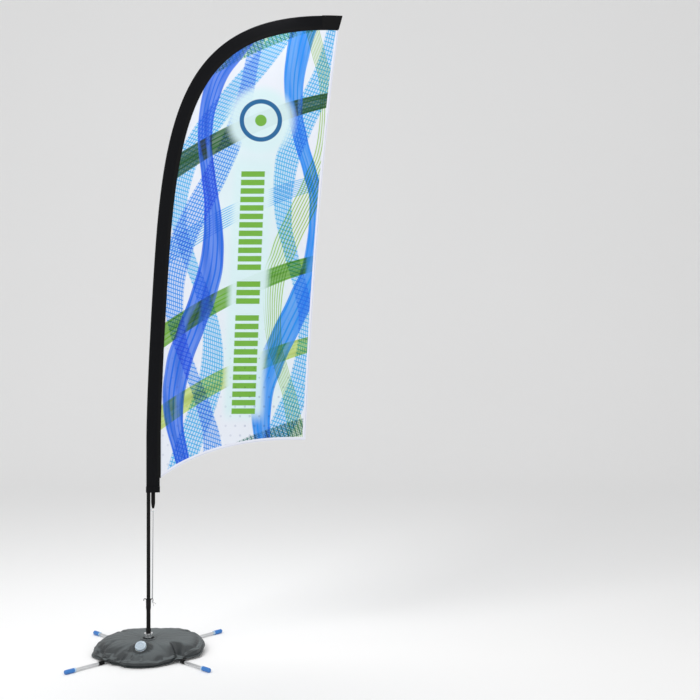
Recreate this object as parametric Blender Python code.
"""A feather-shaped banner flag on a folding cross base, weighted by a water bag.

Metres, +Z up. The origin is the centre of the base's underside, on the pole's axis.
The banner lies in the XZ plane and points to +X.
"""

import math

import bmesh
import bpy
from mathutils import Matrix, Vector

# Clearances
GAP = 0.0003
RUNNING_GAP = 0.0004

# Base plates and the way the legs point
PLATE_HALF = 0.034
PLATE_THICK = 0.0027
PLATE_CORNER = 0.008
LEG_TURN = math.radians(47.6)
PIN_REACH = 0.030
PIN_RADIUS = 0.003
PIN_HEAD_RADIUS = 0.0055
PIN_HEAD_HEIGHT = 0.003

# Legs
LEG_NAMES = ("back_right", "back_left", "front_left", "front_right")
LEG_REACH = 0.405
LEG_RADIUS = 0.006
LEG_WALL = 0.001
CAP_RADIUS = 0.009
CAP_LENGTH = 0.050
CAP_END_WALL = 0.004
EYE_RADIUS = 0.009
EYE_NECK_END = 0.034
LEG_TUBE_START = 0.0125
STRAP_WIDTH = 0.025
STRAP_THICK = 0.0012
CAP_END_ROUND = 0.004
CAP_EDGE_BREAK = 0.0012
EYE_FLAT = 0.0005
STRAP_SET_IN = 0.0025

# Rotator
HOUSING_RADIUS = 0.015
HOUSING_FLANGE_RADIUS = 0.022
HOUSING_FLANGE_THICK = 0.0032
HOUSING_HEIGHT = 0.0582
SCREW_REACH = 0.0186
SCREW_RADIUS = 0.0015
SCREW_HEAD_RADIUS = 0.0026
SCREW_HEAD_HEIGHT = 0.0024
BEARING_OUTER = 0.013
BEARING_HEIGHT = 0.008
RACE_WALL = 0.0020
BALL_RADIUS = 0.0016
BALL_COUNT = 9
SHAFT_RADIUS = 0.005
FLANGE_RADIUS = 0.0185
FLANGE_THICK = 0.0037
PIN_OF_SPINDLE_RADIUS = 0.0065
PIN_OF_SPINDLE_LENGTH = 0.180
NUT_RADIUS = 0.008
NUT_HEIGHT = 0.0042

# Pole
POLE_RADIUS = 0.008
UPPER_SECTION_WALL = 0.0011
SECTION_LENGTH = 0.772
SECTION_OVERLAP = 0.070
TIP_END_RADIUS = 0.0025
TIP_BEAD_RADIUS = 0.0044
TIP_BEAD_LENGTH = 0.014
TIP_BEAD_OVERHANG = 0.004
TIP_SPARE = 0.018
STOP_RING_LENGTH = 0.012
FOOT_CUFF_RADIUS = POLE_RADIUS + 0.0025
FOOT_CUFF_LENGTH = 0.020
FOOT_SLEEVE_RADIUS = POLE_RADIUS + 0.0009
COLLAR_BOTTOM = 0.182
COLLAR_HEIGHT = 0.046
COLLAR_RADIUS = POLE_RADIUS + 0.0025
HORN_REACH = COLLAR_RADIUS + 0.0095
HORN_RADIUS = 0.0018

# The bent part of the pole: where it starts, its middle knot and its end, with their headings
BEND_START = 0.900
BEND_MIDDLE = (0.045, 1.820)
BEND_END = (0.824, 2.700)
MIDDLE_HEADING = math.radians(5.1)
END_HEADING = math.radians(92.9)
BEND_HANDLES = ((0.200, 0.200), (0.571, 0.602))

# Banner
SLEEVE_WIDTH = 0.057
SLEEVE_WALL = 0.0006
SLEEVE_BOTTOM = 0.681
SLEEVE_BORE = POLE_RADIUS + 0.0006
SLEEVE_TIP_BORE = 0.0050
SLEEVE_SEAM = 0.0025
SLEEVE_END_SLANT = 0.22
SLANT_LENGTH = 0.05
SLEEVE_END_WALL = 0.003
POCKET_LENGTH = 0.085
POCKET_COVER = 0.85
PANEL_THICK = 0.0008
PANEL_LUFF_BOTTOM = 0.742
PANEL_CORNER = (0.666, 0.904)
LEECH_PULL = (0.723, 2.044)
FOOT_PULLS = ((0.200, 0.852), (0.400, 0.912))

# Tension strap, ring and cord
TENSION_X = POLE_RADIUS + 0.0115
TENSION_Y = 0.0020
WEB_WIDTH = 0.017
WEB_THICK = 0.0018
WEB_LOOP_Z = 0.6145
WEB_INSIDE = 0.020
RING_RADIUS = 0.0083
RING_WIRE = 0.0014
CORD_RADIUS = 0.0013
CORD_AT_HORN = HORN_REACH - 0.0048
CORD_TURN_STEP = 30
KNOT_RADIUS = 0.0030
TAIL_RADIUS = 0.0011

# Water bag
BAG_RADIUS = 0.225
BAG_LOBE = 0.006
BAG_HOLE = 0.027
BAG_TOP = 0.068
BAG_HOLE_DIP = 0.008
BAG_RECESS_RADIUS = 0.052
BAG_RECESS = 0.0072
BAG_RIM = 0.031
BAG_RIM_SWING = 0.007
BAG_FLAT = 0.130
BAG_FLAT_SWING = 0.045
BAG_EDGE_POWER = 2.0
BAG_POWER_SWING = 0.9
BAG_CORNER = 0.022
BAG_SIDES = 48

# Filler
FILLER_X = -0.008
FILLER_Y = -0.1185
FILLER_Z = 0.0568
FILLER_TILT = math.radians(36)
FILLER_FLANGE = 0.027
FILLER_FLANGE_THICK = 0.0018
SPOUT_RADIUS = 0.017
SPOUT_BORE = 0.0135
SPOUT_HEIGHT = 0.008
SEAL_THICK = 0.0012
FILLER_CAP_RADIUS = 0.0235
FILLER_CAP_WALL = 0.0018

# Facets
ROUND = 20
SMALL_ROUND = 12
SECTION_STATIONS = (1, 12, 22)
TIP_STATIONS = 30
SLEEVE_STATIONS = 46
LUFF_STEPS = 44

# Heights that follow from the sizes above
LEG_AXIS_Z = CAP_RADIUS
UPPER_PLATE_Z = LEG_AXIS_Z + LEG_RADIUS + GAP
PLATE_TOP_Z = UPPER_PLATE_Z + PLATE_THICK
HOUSING_Z = PLATE_TOP_Z + GAP
HOUSING_TOP_Z = HOUSING_Z + HOUSING_HEIGHT
BEARING_BORE = BEARING_OUTER + GAP
NUT_Z = HOUSING_Z + RUNNING_GAP
WASHER_Z = NUT_Z + NUT_HEIGHT + GAP
WASHER_THICK = 0.0015
LOWER_BEARING_Z = WASHER_Z + WASHER_THICK + GAP
UPPER_BEARING_Z = HOUSING_TOP_Z - BEARING_HEIGHT - 0.0013
SHOULDER_Z = UPPER_BEARING_Z + BEARING_HEIGHT + GAP
FLANGE_Z = HOUSING_TOP_Z + 0.0030
FLANGE_TOP_Z = FLANGE_Z + FLANGE_THICK
POLE_FOOT_Z = FLANGE_TOP_Z + GAP
BAG_BOTTOM = LEG_AXIS_Z + LEG_RADIUS + GAP
RING_Z = WEB_LOOP_Z - RING_RADIUS
COLLAR_TOP_Z = COLLAR_BOTTOM + COLLAR_HEIGHT
HORN_Z = COLLAR_TOP_Z + 0.001


def clear_scene():
    for thing in list(bpy.data.objects):
        bpy.data.objects.remove(thing)


def finish_material(name, colour, roughness, metallic=0.0):
    made = bpy.data.materials.get(name) or bpy.data.materials.new(name)
    made.use_nodes = True
    shader = made.node_tree.nodes["Principled BSDF"]
    shader.inputs["Base Color"].default_value = (*colour, 1.0)
    shader.inputs["Roughness"].default_value = roughness
    shader.inputs["Metallic"].default_value = metallic
    return made


def empty_at(name, place, turn=None, parent=None):
    made = bpy.data.objects.new(name, None)
    made.location = place
    if turn is not None:
        made.rotation_euler = turn
    made.parent = parent
    bpy.context.scene.collection.objects.link(made)
    return made


def add_piece(name, bm, material, parent=None, place=(0, 0, 0), turn=(0, 0, 0), smooth=40):
    """Turns a bmesh into a named object, shaded smooth up to the given angle."""
    bmesh.ops.recalc_face_normals(bm, faces=bm.faces)
    mesh = bpy.data.meshes.new(name)
    bm.to_mesh(mesh)
    bm.free()
    mesh.shade_smooth()
    mesh.set_sharp_from_angle(angle=math.radians(smooth))
    made = bpy.data.objects.new(name, mesh)
    made.location = place
    made.rotation_euler = turn
    made.parent = parent
    if material is not None:
        mesh.materials.append(material)
    bpy.context.scene.collection.objects.link(made)
    return made


def boolean(target, tool, operation):
    """Joins or cuts with a hidden helper object that shares the target's parent."""
    tool.parent = target.parent
    tool.hide_render = True
    tool.display_type = "WIRE"
    modifier = target.modifiers.new(operation.lower(), "BOOLEAN")
    modifier.operation = operation
    modifier.solver = "EXACT"
    modifier.object = tool


def turned(profile, sides=ROUND):
    """Spins a closed (radius, height) outline about Z. Points on the axis close the shape."""
    bm = bmesh.new()
    verts = [bm.verts.new((r, 0, z)) for r, z in profile]
    edges = [bm.edges.new((a, b)) for a, b in zip(verts, verts[1:] + verts[:1])]
    bmesh.ops.spin(bm, geom=verts + edges, cent=(0, 0, 0), axis=(0, 0, 1),
                   angle=math.tau, steps=sides, use_merge=True)
    bmesh.ops.remove_doubles(bm, verts=bm.verts, dist=1e-7)
    on_axis = [e for e in bm.edges if not e.link_faces]
    bmesh.ops.delete(bm, geom=on_axis, context="EDGES")
    return bm


def along_x(bm):
    """Lays a shape that was turned about Z along +X."""
    bmesh.ops.rotate(bm, verts=bm.verts, cent=(0, 0, 0), matrix=Matrix.Rotation(math.pi / 2, 3, "Y"))
    return bm


def disc(radius, z_low, z_high, sides=ROUND):
    return turned([(0, z_low), (radius, z_low), (radius, z_high), (0, z_high)], sides)


def ring_of(inner, outer, z_low, z_high, sides=ROUND):
    return turned([(inner, z_low), (outer, z_low), (outer, z_high), (inner, z_high)], sides)


def loft(rings, closed=False):
    """Joins rings of points by extruding each ring's edges to the next. Ends are capped, or joined."""
    bm = bmesh.new()
    first = [bm.verts.new(p) for p in rings[0]]
    pairs = list(zip(first, first[1:] + first[:1]))
    for a, b in pairs:
        bm.edges.new((a, b))
    ring = first
    for points in rings[1:]:
        edges = [bm.edges.get(pair) for pair in zip(ring, ring[1:] + ring[:1])]
        made = bmesh.ops.extrude_edge_only(bm, edges=edges)["geom"]
        fresh = {v for v in made if isinstance(v, bmesh.types.BMVert)}
        ring = [next(e.other_vert(v) for e in v.link_edges if e.other_vert(v) in fresh) for v in ring]
        for vert, point in zip(ring, points):
            vert.co = point
    if closed:
        for a, b, c, d in zip(ring, ring[1:] + ring[:1], first[1:] + first[:1], first):
            bm.faces.new((a, b, c, d))
    else:
        bm.faces.new(first)
        bm.faces.new(ring)
    return bm


def extruded(outline, thickness, axis):
    """Extrudes a flat outline by a thickness, half to each side of its plane."""
    bm = bmesh.new()
    half = Vector(axis) * thickness / 2
    face = bm.faces.new([bm.verts.new(Vector(p) - half) for p in outline])
    made = bmesh.ops.extrude_face_region(bm, geom=[face])["geom"]
    moved = [v for v in made if isinstance(v, bmesh.types.BMVert)]
    bmesh.ops.translate(bm, verts=moved, vec=half * 2)
    return bm


def bezier(p0, p1, p2, p3, t):
    s = 1 - t
    return p0 * s**3 + p1 * 3 * s * s * t + p2 * 3 * s * t * t + p3 * t**3


def circle_points(centre, side, up, radius, count):
    return [
        centre + side * radius * math.cos(math.tau * i / count) + up * radius * math.sin(math.tau * i / count)
        for i in range(count)
    ]


class PoleLine:
    """The pole's centreline, straight up and then bent over, read by distance from the pole's foot."""

    def __init__(self):
        def forward(heading):
            return Vector((math.sin(heading), math.cos(heading)))

        knots = [Vector((0, BEND_START)), Vector(BEND_MIDDLE), Vector(BEND_END)]
        headings = [0, MIDDLE_HEADING, END_HEADING]
        steps = 240
        self.points = [Vector((0, POLE_FOOT_Z))]
        for i, (out, back) in enumerate(BEND_HANDLES):
            a = knots[i] + forward(headings[i]) * out
            b = knots[i + 1] - forward(headings[i + 1]) * back
            self.points += [bezier(knots[i], a, b, knots[i + 1], k / steps) for k in range(steps)]
        self.points.append(knots[-1])
        self.reach = [0.0]
        for a, b in zip(self.points, self.points[1:]):
            self.reach.append(self.reach[-1] + (b - a).length)
        self.length = self.reach[-1]

    def at(self, s):
        """The point at a distance s, and the direction of travel there."""
        s = min(max(s, 0), self.length)
        i = next((k for k, r in enumerate(self.reach) if r >= s), len(self.reach) - 1)
        i = max(i, 1)
        a, b = self.points[i - 1], self.points[i]
        share = (s - self.reach[i - 1]) / (self.reach[i] - self.reach[i - 1])
        before = self.points[max(i - 2, 0)]
        after = self.points[min(i + 1, len(self.points) - 1)]
        heading = (b - before).normalized().lerp((after - a).normalized(), share).normalized()
        return a.lerp(b, share), heading

    def beside(self, s, offset, y=0.0, ahead=0.0):
        """A point beside the line at s: offset to the banner's side, moved ahead along the line."""
        point, heading = self.at(s)
        inward = Vector((heading.y, -heading.x))
        point = point + inward * offset + heading * ahead
        return Vector((point.x, y, point.y))


LINE = PoleLine()
SLEEVE_START_S = SLEEVE_BOTTOM - POLE_FOOT_Z
BEND_START_S = BEND_START - POLE_FOOT_Z


def bore_at(s):
    """The sleeve's inside radius round the pole: constant up to the bend, then tapering to the tip."""
    share = min(max((s - BEND_START_S) / (LINE.length - BEND_START_S), 0), 1)
    return SLEEVE_BORE + (SLEEVE_TIP_BORE - SLEEVE_BORE) * share


def stations(start, end, count):
    return [start + (end - start) * i / count for i in range(count + 1)]


def pole_tube(name, start, end, inner, outer, material, parent, count, sides=SMALL_ROUND):
    """A hollow section that follows the pole's line."""
    def circle(s, radius):
        heading = LINE.at(s)[1]
        side = Vector((heading.y, 0, -heading.x))
        return circle_points(LINE.beside(s, 0), side, Vector((0, 1, 0)), radius, sides)

    outside = [circle(s, outer) for s in stations(start, end, count)]
    inside = [circle(s, inner) for s in reversed(stations(start, end, count))]
    return add_piece(name, loft(outside + inside, closed=True), material, parent)


def sleeve_ring(s, bore, width, seam_half, slant=0.0):
    """A drop-shaped section: round about the pole, drawn to a flat seam on the banner's side."""
    reach = width - bore
    turn = math.acos(bore / reach)
    arc_steps = 8
    points = []
    for i in range(arc_steps + 1):
        angle = turn + (math.tau - 2 * turn) * i / arc_steps
        points.append((bore * math.cos(angle), bore * math.sin(angle)))
    points += [(reach, -seam_half), (reach, seam_half)]
    return [LINE.beside(s, x, y, ahead=-(x + bore) * slant) for x, y in points]


def end_slant(s):
    """How far the sleeve's section leans near the tip, where its end is cut on a slant."""
    return SLEEVE_END_SLANT * max(0, 1 - (LINE.length - s) / SLANT_LENGTH)


def sleeve_sock(count):
    """The sleeve: a drop-shaped sock along the pole's line, open below and closed at the tip."""
    outer = []
    inner = []
    for s in stations(SLEEVE_START_S, LINE.length, count):
        outer.append(sleeve_ring(s, bore_at(s) + SLEEVE_WALL, SLEEVE_WIDTH, SLEEVE_SEAM / 2, end_slant(s)))
    inner_width = SLEEVE_WIDTH - SLEEVE_WALL - SLEEVE_SEAM
    for s in stations(SLEEVE_START_S, LINE.length - SLEEVE_END_WALL, count):
        inner.append(sleeve_ring(s, bore_at(s), inner_width, SLEEVE_SEAM / 8, end_slant(s)))
    return loft(list(reversed(inner)) + outer)


def pocket_ring(s):
    """The reinforcement's section: two skins folded round the sleeve's outer edge."""
    radius = bore_at(s) + SLEEVE_WALL
    reach = SLEEVE_WIDTH - radius
    turn = math.acos(radius / reach)

    def skin(offset):
        arc = []
        for i in range(9):
            angle = turn + (math.tau - 2 * turn) * i / 8
            arc.append(((radius + offset) * math.cos(angle), (radius + offset) * math.sin(angle)))
        ends = []
        for side in (1, -1):
            a = Vector((radius * math.cos(turn), side * radius * math.sin(turn)))
            b = Vector((reach, side * SLEEVE_SEAM / 2))
            out = Vector((-(b - a).y, (b - a).x)).normalized() * side
            ends.append(tuple(a.lerp(b, POCKET_COVER) + out * offset))
        return [ends[0]] + arc + [ends[1]]

    points = skin(GAP + SLEEVE_WALL) + list(reversed(skin(GAP)))
    return [LINE.beside(s, x, y, ahead=-(x + radius) * end_slant(s)) for x, y in points]


def build_base(root, finishes):
    steel = finishes["zinc_steel"]
    for name, z in (("hub_lower_plate", 0.0), ("hub_upper_plate", UPPER_PLATE_Z)):
        bm = bmesh.new()
        bmesh.ops.create_cube(bm, size=1)
        bmesh.ops.scale(bm, vec=(2 * PLATE_HALF, 2 * PLATE_HALF, PLATE_THICK), verts=bm.verts)
        upright = [e for e in bm.edges if abs(e.verts[0].co.z - e.verts[1].co.z) > PLATE_THICK / 2]
        bmesh.ops.bevel(bm, geom=upright, offset=PLATE_CORNER, segments=4, affect="EDGES", profile=0.5)
        plate = add_piece(name, bm, steel, root, (0, 0, z + PLATE_THICK / 2),
                          (0, 0, LEG_TURN - math.radians(45)))
        holes = [(PIN_REACH, LEG_TURN, PIN_RADIUS)]
        if z > 0:
            holes.append((SCREW_REACH, LEG_TURN - math.radians(45), SCREW_RADIUS))
        for reach, turn, radius in holes:
            for k in range(4):
                angle = turn + k * math.pi / 2
                place = (reach * math.cos(angle), reach * math.sin(angle), z)
                cutter = add_piece(f"{name}_hole", disc(radius + GAP, -0.002, 0.006, SMALL_ROUND),
                                   None, None, place)
                boolean(plate, cutter, "DIFFERENCE")
    for k, corner in enumerate(LEG_NAMES):
        angle = LEG_TURN + k * math.pi / 2
        place = (PIN_REACH * math.cos(angle), PIN_REACH * math.sin(angle), 0)
        head = PLATE_TOP_Z + GAP
        pin = turned([(0, GAP), (PIN_RADIUS, GAP), (PIN_RADIUS, head), (PIN_HEAD_RADIUS, head),
                      (PIN_HEAD_RADIUS, head + PIN_HEAD_HEIGHT * 0.6),
                      (PIN_HEAD_RADIUS * 0.6, head + PIN_HEAD_HEIGHT), (0, head + PIN_HEAD_HEIGHT)],
                     SMALL_ROUND)
        add_piece(f"leg_pin_{corner}", pin, steel, root, place)


def build_housing(root, finishes):
    flange_top = HOUSING_Z + HOUSING_FLANGE_THICK
    ledge_low = LOWER_BEARING_Z + BEARING_HEIGHT + GAP
    ledge_high = UPPER_BEARING_Z - GAP
    neck = BEARING_OUTER - RACE_WALL
    housing = add_piece("rotator_housing", turned([
        (BEARING_BORE, HOUSING_Z), (HOUSING_FLANGE_RADIUS, HOUSING_Z),
        (HOUSING_FLANGE_RADIUS, flange_top), (HOUSING_RADIUS, flange_top),
        (HOUSING_RADIUS, HOUSING_TOP_Z), (BEARING_BORE, HOUSING_TOP_Z),
        (BEARING_BORE, ledge_high), (neck, ledge_high), (neck, ledge_low), (BEARING_BORE, ledge_low),
    ]), finishes["chrome"], root)
    for k in range(4):
        angle = LEG_TURN + math.radians(45) + k * math.pi / 2
        place = (SCREW_REACH * math.cos(angle), SCREW_REACH * math.sin(angle), 0)
        hole = disc(SCREW_RADIUS + GAP, HOUSING_Z - 0.001, flange_top + 0.001, SMALL_ROUND)
        boolean(housing, add_piece("housing_hole", hole, None, None, place), "DIFFERENCE")
        under = flange_top + GAP
        screw = turned([(0, UPPER_PLATE_Z), (SCREW_RADIUS, UPPER_PLATE_Z), (SCREW_RADIUS, under),
                        (SCREW_HEAD_RADIUS, under), (SCREW_HEAD_RADIUS, under + SCREW_HEAD_HEIGHT),
                        (0, under + SCREW_HEAD_HEIGHT)], SMALL_ROUND)
        add_piece(f"housing_screw_{k + 1}", screw, finishes["zinc_steel"], root, place)


def ball_cage(z):
    """A cage ring that swells into a ball at each pocket."""
    inner = SHAFT_RADIUS + GAP + RACE_WALL
    outer = BEARING_OUTER - RACE_WALL
    pitch = (inner + outer) / 2
    per_ball = 4
    rings = []
    for i in range(BALL_COUNT * per_ball):
        angle = math.tau * i / (BALL_COUNT * per_ball)
        thin = abs((i % per_ball) - per_ball / 2) / (per_ball / 2)
        radius = BALL_RADIUS * math.sqrt(max(1 - (1 - thin) ** 2, 0.16))
        side = Vector((math.cos(angle), math.sin(angle), 0))
        rings.append(circle_points(side * pitch + Vector((0, 0, z)), side, Vector((0, 0, 1)), radius, 6))
    return loft(rings, closed=True)


def build_bearing(name, z, root, axis, finishes):
    steel = finishes["bearing_steel"]
    outer = ring_of(BEARING_OUTER - RACE_WALL, BEARING_OUTER, z, z + BEARING_HEIGHT)
    add_piece(f"{name}_outer_race", outer, steel, root)
    inner = ring_of(SHAFT_RADIUS + GAP, SHAFT_RADIUS + GAP + RACE_WALL, z, z + BEARING_HEIGHT)
    add_piece(f"{name}_inner_race", inner, steel, axis)
    add_piece(f"{name}_ball_cage", ball_cage(z + BEARING_HEIGHT / 2), steel, axis)


def build_spindle(axis, finishes):
    pin = PIN_OF_SPINDLE_RADIUS
    top = FLANGE_TOP_Z + PIN_OF_SPINDLE_LENGTH
    shaft = turned([
        (0, NUT_Z), (SHAFT_RADIUS, NUT_Z), (SHAFT_RADIUS, SHOULDER_Z), (SHAFT_RADIUS + 0.002, SHOULDER_Z),
        (SHAFT_RADIUS + 0.002, FLANGE_Z), (FLANGE_RADIUS - 0.001, FLANGE_Z),
        (FLANGE_RADIUS, FLANGE_Z + 0.001), (FLANGE_RADIUS, FLANGE_TOP_Z - 0.001),
        (FLANGE_RADIUS - 0.001, FLANGE_TOP_Z), (pin, FLANGE_TOP_Z), (pin, top - 0.003),
        (pin - 0.003, top), (0, top),
    ])
    add_piece("spindle_shaft", shaft, finishes["chrome"], axis)
    spacer = ring_of(SHAFT_RADIUS + GAP, SHAFT_RADIUS + RACE_WALL,
                     LOWER_BEARING_Z + BEARING_HEIGHT + GAP, UPPER_BEARING_Z - GAP)
    add_piece("bearing_spacer", spacer, finishes["zinc_steel"], axis)
    washer = ring_of(SHAFT_RADIUS + GAP, NUT_RADIUS, WASHER_Z, WASHER_Z + WASHER_THICK)
    add_piece("spindle_washer", washer, finishes["zinc_steel"], axis)
    nut = add_piece("spindle_nut", disc(NUT_RADIUS, NUT_Z, NUT_Z + NUT_HEIGHT, 6),
                    finishes["zinc_steel"], axis)
    bore = disc(SHAFT_RADIUS + GAP, NUT_Z - 0.002, NUT_Z + NUT_HEIGHT + 0.002, SMALL_ROUND)
    boolean(nut, add_piece("nut_bore", bore, None), "DIFFERENCE")


def build_leg(corner, angle, root, finishes):
    """One leg, built along local +X from its pin."""
    pivot = empty_at(f"leg_{corner}_pivot", (PIN_REACH * math.cos(angle), PIN_REACH * math.sin(angle), 0),
                     (0, 0, angle), root)
    length = LEG_REACH - PIN_REACH
    axis_z = (0, 0, LEG_AXIS_Z)
    tube_end = length - CAP_END_WALL - GAP
    bore = LEG_RADIUS - LEG_WALL
    tube = along_x(ring_of(bore, LEG_RADIUS, LEG_TUBE_START, tube_end, SMALL_ROUND))
    add_piece(f"leg_tube_{corner}", tube, finishes["zinc_steel"], pivot, axis_z)
    cap = along_x(turned([
        (0, length - CAP_END_WALL), (LEG_RADIUS + GAP, length - CAP_END_WALL),
        (LEG_RADIUS + GAP, length - CAP_LENGTH), (CAP_RADIUS - 0.001, length - CAP_LENGTH),
        (CAP_RADIUS, length - CAP_LENGTH + 0.001), (CAP_RADIUS, length - CAP_END_ROUND),
        (CAP_RADIUS - CAP_EDGE_BREAK, length - CAP_EDGE_BREAK), (CAP_RADIUS - CAP_END_ROUND, length), (0, length),
    ], SMALL_ROUND))
    add_piece(f"leg_cap_{corner}", cap, finishes["blue_plastic"], pivot, axis_z)
    half = LEG_RADIUS - EYE_FLAT
    eye = add_piece(f"leg_eye_{corner}", disc(EYE_RADIUS, -half, half, ROUND),
                    finishes["zinc_steel"], pivot, axis_z)
    neck = along_x(disc(bore - GAP, EYE_RADIUS * 0.6, EYE_NECK_END, SMALL_ROUND))
    boolean(eye, add_piece("eye_neck", neck, None, None, axis_z), "UNION")
    hole = disc(PIN_RADIUS + GAP, -0.02, 0.02, SMALL_ROUND)
    boolean(eye, add_piece("eye_hole", hole, None, None, axis_z), "DIFFERENCE")
    start = BAG_RADIUS - PIN_REACH - STRAP_SET_IN
    strap = along_x(ring_of(LEG_RADIUS + GAP, LEG_RADIUS + GAP + STRAP_THICK, start, start + STRAP_WIDTH,
                            SMALL_ROUND))
    add_piece(f"leg_strap_{corner}", strap, finishes["black_webbing"], pivot, axis_z)


def build_pole(axis, finishes):
    black = finishes["black_fibreglass"]
    ring_black = finishes["black_plastic"]
    foot = POLE_FOOT_Z
    start = 0.0
    outer = POLE_RADIUS
    bore = PIN_OF_SPINDLE_RADIUS + RUNNING_GAP
    for k in range(3):
        end = start + SECTION_LENGTH + (SECTION_OVERLAP if k else 0)
        pole_tube(f"pole_section_{k + 1}", start, end, bore, outer, black, axis,
                  count=SECTION_STATIONS[k])
        next_outer = bore - GAP
        pole_tube(f"stop_ring_{k + 1}", end + GAP, end + GAP + STOP_RING_LENGTH, next_outer + GAP, outer,
                  ring_black, axis, count=2)
        start = end - SECTION_OVERLAP
        outer = next_outer
        bore = outer - UPPER_SECTION_WALL
    end = LINE.length - TIP_SPARE

    def radius_at(s):
        thin = max(0, (s - start - SECTION_OVERLAP) / (end - start - SECTION_OVERLAP))
        return outer + (TIP_END_RADIUS - outer) * thin

    def circle(s, radius):
        heading = LINE.at(s)[1]
        side = Vector((heading.y, 0, -heading.x))
        return circle_points(LINE.beside(s, 0), side, Vector((0, 1, 0)), radius, SMALL_ROUND)

    rod = [circle(s, radius_at(s)) for s in stations(start, end, TIP_STATIONS)]
    add_piece("pole_tip_section", loft(rod), black, axis)
    bead_start = end - TIP_BEAD_LENGTH + TIP_BEAD_OVERHANG
    outside = [circle(s, TIP_BEAD_RADIUS) for s in (bead_start, end + 0.001)]
    outside += [circle(end + 0.003, TIP_BEAD_RADIUS * 0.7)]
    inside = [circle(s, TIP_END_RADIUS + 2 * GAP) for s in (end + GAP, bead_start)]
    add_piece("tip_bead", loft(inside + outside), ring_black, axis)

    inner = POLE_RADIUS + GAP
    cuff_top = foot + FOOT_CUFF_LENGTH
    cuff = turned([(inner, foot), (FOOT_CUFF_RADIUS, foot), (FOOT_CUFF_RADIUS, cuff_top - 0.002),
                   (FOOT_CUFF_RADIUS - 0.001, cuff_top), (inner, cuff_top)])
    add_piece("pole_foot_cuff", cuff, ring_black, axis)
    sleeve = ring_of(inner, FOOT_SLEEVE_RADIUS, cuff_top + GAP, COLLAR_BOTTOM - GAP)
    add_piece("pole_foot_sleeve", sleeve, black, axis)


def build_collar(axis, finishes):
    inner = POLE_RADIUS + GAP
    collar = add_piece("hook_collar", turned([
        (inner, COLLAR_BOTTOM), (FOOT_SLEEVE_RADIUS + 0.0004, COLLAR_BOTTOM),
        (COLLAR_RADIUS, COLLAR_BOTTOM + 0.010), (COLLAR_RADIUS, COLLAR_TOP_Z - 0.002),
        (COLLAR_RADIUS - 0.001, COLLAR_TOP_Z), (inner, COLLAR_TOP_Z),
    ]), finishes["black_plastic"], axis)
    root_x = COLLAR_RADIUS
    root_z = HORN_Z - 0.0045
    for side in (-1, 1):
        bend = [Vector((root_x, 0, root_z)), Vector((root_x + 0.005, 0, HORN_Z + 0.003)),
                Vector((HORN_REACH, 0, HORN_Z)), Vector((HORN_REACH, 0, HORN_Z - 0.0105))]
        rings = []
        for i in range(9):
            t = i / 8
            centre = bezier(*bend, t)
            ahead = bezier(*bend, min(t + 0.01, 1)) - bezier(*bend, max(t - 0.01, 0))
            across = Vector((ahead.z, 0, -ahead.x)).normalized()
            centre.x *= side
            across.x *= side
            radius = HORN_RADIUS * (1 - 0.25 * t)
            rings.append(circle_points(centre, across, Vector((0, 1, 0)), radius, 8))
        boolean(collar, add_piece("horn", loft(rings), None), "UNION")


def build_banner(axis, finishes):
    add_piece("flag_sleeve", sleeve_sock(SLEEVE_STATIONS), finishes["black_fabric"], axis, smooth=60)
    pocket = [pocket_ring(s) for s in stations(LINE.length - POCKET_LENGTH, LINE.length - GAP, 6)]
    add_piece("tip_pocket", loft(pocket), finishes["black_webbing"], axis, smooth=60)

    edge = SLEEVE_WIDTH + SLEEVE_WALL + GAP * 2

    def luff(s):
        reach = edge - bore_at(s) - SLEEVE_WALL
        return LINE.beside(s, reach, 0, ahead=-(reach + bore_at(s)) * end_slant(s))

    outline = [luff(s) for s in reversed(stations(PANEL_LUFF_BOTTOM - POLE_FOOT_Z, LINE.length, LUFF_STEPS))]
    bottom = outline[-1]
    corner = Vector((PANEL_CORNER[0], 0, PANEL_CORNER[1]))
    pulls = [Vector((x, 0, z)) for x, z in FOOT_PULLS]
    outline += [bezier(bottom, *pulls, corner, i / 16) for i in range(1, 17)]
    top = outline[0]
    pull = Vector((LEECH_PULL[0], 0, LEECH_PULL[1]))
    leech = (corner, corner.lerp(pull, 2 / 3), top.lerp(pull, 2 / 3), top)
    outline += [bezier(*leech, i / 14) for i in range(1, 14)]
    add_piece("flag_panel", extruded(outline, PANEL_THICK, (0, 1, 0)), finishes["printed_fabric"], axis)


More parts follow.
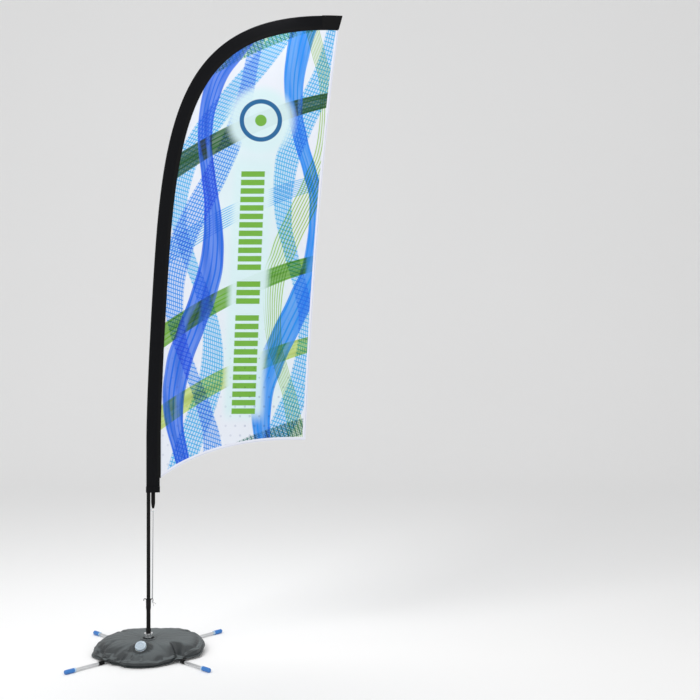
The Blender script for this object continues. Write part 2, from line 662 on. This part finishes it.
def build_tension(axis, finishes):
    """The strap sewn inside the sleeve's mouth, the ring on its loop, and the cord down to the collar."""
    half = WEB_THICK / 2
    loop = RING_WIRE + GAP + WEB_THICK / 2
    low = WEB_LOOP_Z - 0.0044
    top = SLEEVE_BOTTOM + WEB_INSIDE
    side = [(-loop * 0.6, low), (loop * 0.6, low), (loop, low + 0.0015), (loop, WEB_LOOP_Z + 0.001),
            (half, WEB_LOOP_Z + 0.008), (half, top), (-half, top), (-half, WEB_LOOP_Z + 0.008),
            (-loop, WEB_LOOP_Z + 0.001), (-loop, low + 0.0015)]
    bm = extruded([(0, y, z) for y, z in side], WEB_WIDTH, (1, 0, 0))
    for vert in bm.verts:
        if vert.co.z < WEB_LOOP_Z + 0.005:
            vert.co.x *= 0.55
    strap = add_piece("tension_strap", bm, finishes["black_webbing"], axis, (TENSION_X, TENSION_Y, 0))

    def hoop(wire, around, sides):
        rings = []
        for i in range(around):
            angle = math.tau * i / around
            out = Vector((math.cos(angle), 0, math.sin(angle)))
            rings.append(circle_points(out * RING_RADIUS, out, Vector((0, 1, 0)), wire, sides))
        return loft(rings, closed=True)

    place = (TENSION_X, TENSION_Y, RING_Z)
    boolean(strap, add_piece("loop_space", hoop(RING_WIRE + GAP, 24, 10), None, None, place), "DIFFERENCE")
    add_piece("tension_ring", hoop(RING_WIRE, 24, 8), finishes["white_plastic"], axis, place)

    wrap = RING_WIRE + GAP + CORD_RADIUS
    hook = HORN_RADIUS + 3 * GAP + CORD_RADIUS
    ring_low = Vector((TENSION_X, TENSION_Y, RING_Z - RING_RADIUS))
    horn_low = Vector((CORD_AT_HORN, 0, HORN_Z - 0.0004))
    knot = horn_low + Vector((0.0032, -hook - 0.0006, -0.012))
    above_knot = KNOT_RADIUS + 2 * GAP
    beside = CORD_RADIUS + GAP
    route = [knot + Vector((beside, 0, above_knot)), knot + Vector((beside, 0, above_knot + 0.004))]
    front_low = horn_low + Vector((0.0034, -hook, 0.010))
    front_high = ring_low + Vector((0.0009, -wrap, -0.010))
    route += [front_low.lerp(front_high, t) for t in (0, 0.02, 0.25, 0.5, 0.75, 0.98, 1)]
    for degrees in range(-15, 196, CORD_TURN_STEP):
        angle = math.radians(degrees)
        route.append(ring_low + Vector((0, -wrap * math.cos(angle), wrap * math.sin(angle))))
    back_high = ring_low + Vector((-0.0009, wrap, -0.010))
    back_low = horn_low + Vector((-0.0008, hook, 0.010))
    route += [back_high.lerp(back_low, t) for t in (0, 0.02, 0.25, 0.5, 0.75, 0.98, 1)]
    for degrees in range(-15, 121, CORD_TURN_STEP):
        angle = math.radians(degrees)
        route.append(horn_low + Vector((-0.0004, hook * math.cos(angle), -hook * math.sin(angle))))
    route += [knot + Vector((-beside, 0, above_knot + 0.003)), knot + Vector((-beside, 0, above_knot))]
    add_cord("tension_cord", route, CORD_RADIUS, finishes["grey_cord"], axis)

    bm = bmesh.new()
    bmesh.ops.create_icosphere(bm, subdivisions=2, radius=KNOT_RADIUS)
    ball = add_piece("cord_knot", bm, finishes["grey_cord"], axis, knot)
    for name, end in (("tail_long", (0.0150, -0.0040, -0.0085)), ("tail_short", (0.0050, -0.0045, -0.0170))):
        end = Vector(end)
        sag = [Vector((0, 0, 0)), end * 0.4 + Vector((0.001, 0, 0.001)), end * 0.8, end]
        rings = []
        for i in range(8):
            centre = bezier(*sag, i / 7)
            ahead = (bezier(*sag, min(i / 7 + 0.02, 1)) - bezier(*sag, max(i / 7 - 0.02, 0))).normalized()
            across = ahead.cross(Vector((0, 1, 0))).normalized()
            rings.append(circle_points(centre, across, ahead.cross(across), TAIL_RADIUS, 8))
        boolean(ball, add_piece(name, loft(rings), None, None, knot), "UNION")


def add_cord(name, route, radius, material, parent):
    """A tube with filled ends through a smooth curve along the route's points."""
    smooth = []
    ends = [route[0] * 2 - route[1]] + route + [route[-1] * 2 - route[-2]]
    for a, b, c, d in zip(ends, ends[1:], ends[2:], ends[3:]):
        steps = 1 if (c - b).length > 0.02 else 2
        for i in range(steps):
            t = i / steps
            smooth.append(0.5 * (2 * b + (c - a) * t + (2 * a - 5 * b + 4 * c - d) * t * t
                                 + (3 * b - a - 3 * c + d) * t**3))
    smooth.append(route[-1])
    curve = bpy.data.curves.new(name, "CURVE")
    curve.dimensions = "3D"
    curve.bevel_depth = radius
    curve.bevel_resolution = 2
    curve.use_fill_caps = True
    spline = curve.splines.new("POLY")
    spline.points.add(len(smooth) - 1)
    for point, place in zip(spline.points, smooth):
        point.co = (*place, 1)
    curve.materials.append(material)
    made = bpy.data.objects.new(name, curve)
    made.parent = parent
    bpy.context.scene.collection.objects.link(made)
    return made


def bag_section(angle):
    """The bag's (radius, height) outline in one direction: full at the back, sloping at the front."""
    back = math.sin(angle)
    edge = BAG_RADIUS - BAG_LOBE * math.cos(4 * (angle - LEG_TURN))
    flat = BAG_FLAT + BAG_FLAT_SWING * back
    rim = BAG_RIM + BAG_RIM_SWING * back
    power = BAG_EDGE_POWER + BAG_POWER_SWING * back
    points = [(BAG_HOLE, BAG_BOTTOM + BAG_RECESS), (BAG_RECESS_RADIUS - 0.002, BAG_BOTTOM + BAG_RECESS),
              (BAG_RECESS_RADIUS, BAG_BOTTOM)]
    for i in range(4):
        turn = math.pi / 2 * i / 3
        points.append((edge - BAG_CORNER + BAG_CORNER * math.sin(turn),
                       rim - (rim - BAG_BOTTOM) * math.cos(turn)))
    for i in range(1, 8):
        share = 1 - (i / 7) ** 1.5
        points.append((flat + (edge - flat) * share, rim + (BAG_TOP - rim) * (1 - share**power)))
    points.append((BAG_HOLE + 0.016, BAG_TOP))
    points.append((BAG_HOLE + 0.004, BAG_TOP - BAG_HOLE_DIP * 0.6))
    points.append((BAG_HOLE, BAG_TOP - BAG_HOLE_DIP))
    return points


def build_bag(frame, finishes):
    rings = []
    for i in range(BAG_SIDES):
        angle = math.tau * i / BAG_SIDES
        rings.append([Vector((r * math.cos(angle), r * math.sin(angle), z)) for r, z in bag_section(angle)])
    bag = add_piece("water_bag", loft(rings, closed=True), finishes["grey_vinyl"], frame, smooth=60)

    filler = empty_at("filler_axis", (FILLER_X, FILLER_Y, FILLER_Z), (FILLER_TILT, 0, 0), frame)
    seat = (FILLER_X, FILLER_Y, FILLER_Z)
    turn = (FILLER_TILT, 0, 0)
    stub = disc(FILLER_FLANGE + 0.002, -0.020, -GAP, ROUND)
    boolean(bag, add_piece("filler_stub", stub, None, None, seat, turn), "UNION")
    pocket = disc(FILLER_FLANGE + 0.0012, -GAP, 0.030, ROUND)
    boolean(bag, add_piece("filler_pocket", pocket, None, None, seat, turn), "DIFFERENCE")

    spout_top = FILLER_FLANGE_THICK + SPOUT_HEIGHT
    neck = turned([(SPOUT_BORE, 0), (FILLER_FLANGE, 0), (FILLER_FLANGE, FILLER_FLANGE_THICK),
                   (SPOUT_RADIUS, FILLER_FLANGE_THICK), (SPOUT_RADIUS, spout_top), (SPOUT_BORE, spout_top)])
    add_piece("filler_neck", neck, finishes["white_plastic"], filler)
    seal_z = spout_top + GAP
    seal = ring_of(SPOUT_BORE + 0.0005, SPOUT_RADIUS - 0.0003, seal_z, seal_z + SEAL_THICK)
    add_piece("filler_seal", seal, finishes["clear_rubber"], filler)
    inside_top = seal_z + SEAL_THICK + GAP
    skirt = FILLER_FLANGE_THICK + 0.0012
    top = inside_top + FILLER_CAP_WALL
    bore = SPOUT_RADIUS + GAP
    radius = FILLER_CAP_RADIUS
    cap = turned([
        (0, inside_top), (bore, inside_top), (bore, skirt), (radius - 0.0008, skirt), (radius, skirt + 0.001),
        (radius, top - 0.0015), (radius - 0.0015, top), (radius * 0.62, top), (radius * 0.60, top + 0.0012),
        (radius * 0.50, top + 0.0012), (radius * 0.48, top), (0, top),
    ])
    add_piece("filler_cap", cap, finishes["clear_plastic"], filler)


def main():
    clear_scene()
    finishes = {
        name: finish_material(name, colour, roughness, metallic)
        for name, colour, roughness, metallic in (
            ("zinc_steel", (0.62, 0.63, 0.65), 0.35, 1.0),
            ("bearing_steel", (0.70, 0.70, 0.72), 0.20, 1.0),
            ("chrome", (0.80, 0.81, 0.83), 0.08, 1.0),
            ("blue_plastic", (0.03, 0.16, 0.50), 0.45, 0.0),
            ("black_plastic", (0.010, 0.010, 0.011), 0.45, 0.0),
            ("black_fibreglass", (0.009, 0.009, 0.010), 0.30, 0.0),
            ("black_fabric", (0.012, 0.013, 0.015), 0.85, 0.0),
            ("black_webbing", (0.010, 0.010, 0.012), 0.80, 0.0),
            ("printed_fabric", (0.70, 0.76, 0.88), 0.75, 0.0),
            ("grey_vinyl", (0.12, 0.14, 0.15), 0.50, 0.0),
            ("white_plastic", (0.80, 0.80, 0.78), 0.40, 0.0),
            ("clear_plastic", (0.62, 0.74, 0.84), 0.30, 0.0),
            ("clear_rubber", (0.55, 0.55, 0.52), 0.60, 0.0),
            ("grey_cord", (0.45, 0.46, 0.47), 0.80, 0.0),
        )
    }
    root = empty_at("base_frame", (0, 0, 0))
    spindle = empty_at("spindle_axis", (0, 0, 0), None, root)
    pole = empty_at("pole_axis", (0, 0, 0), None, spindle)
    bag = empty_at("bag_frame", (0, 0, 0), None, root)
    build_base(root, finishes)
    build_housing(root, finishes)
    build_bearing("lower_bearing", LOWER_BEARING_Z, root, spindle, finishes)
    build_bearing("upper_bearing", UPPER_BEARING_Z, root, spindle, finishes)
    build_spindle(spindle, finishes)
    for k, corner in enumerate(LEG_NAMES):
        build_leg(corner, LEG_TURN + k * math.pi / 2, root, finishes)
    build_pole(pole, finishes)
    build_collar(pole, finishes)
    build_banner(pole, finishes)
    build_tension(pole, finishes)
    build_bag(bag, finishes)


main()
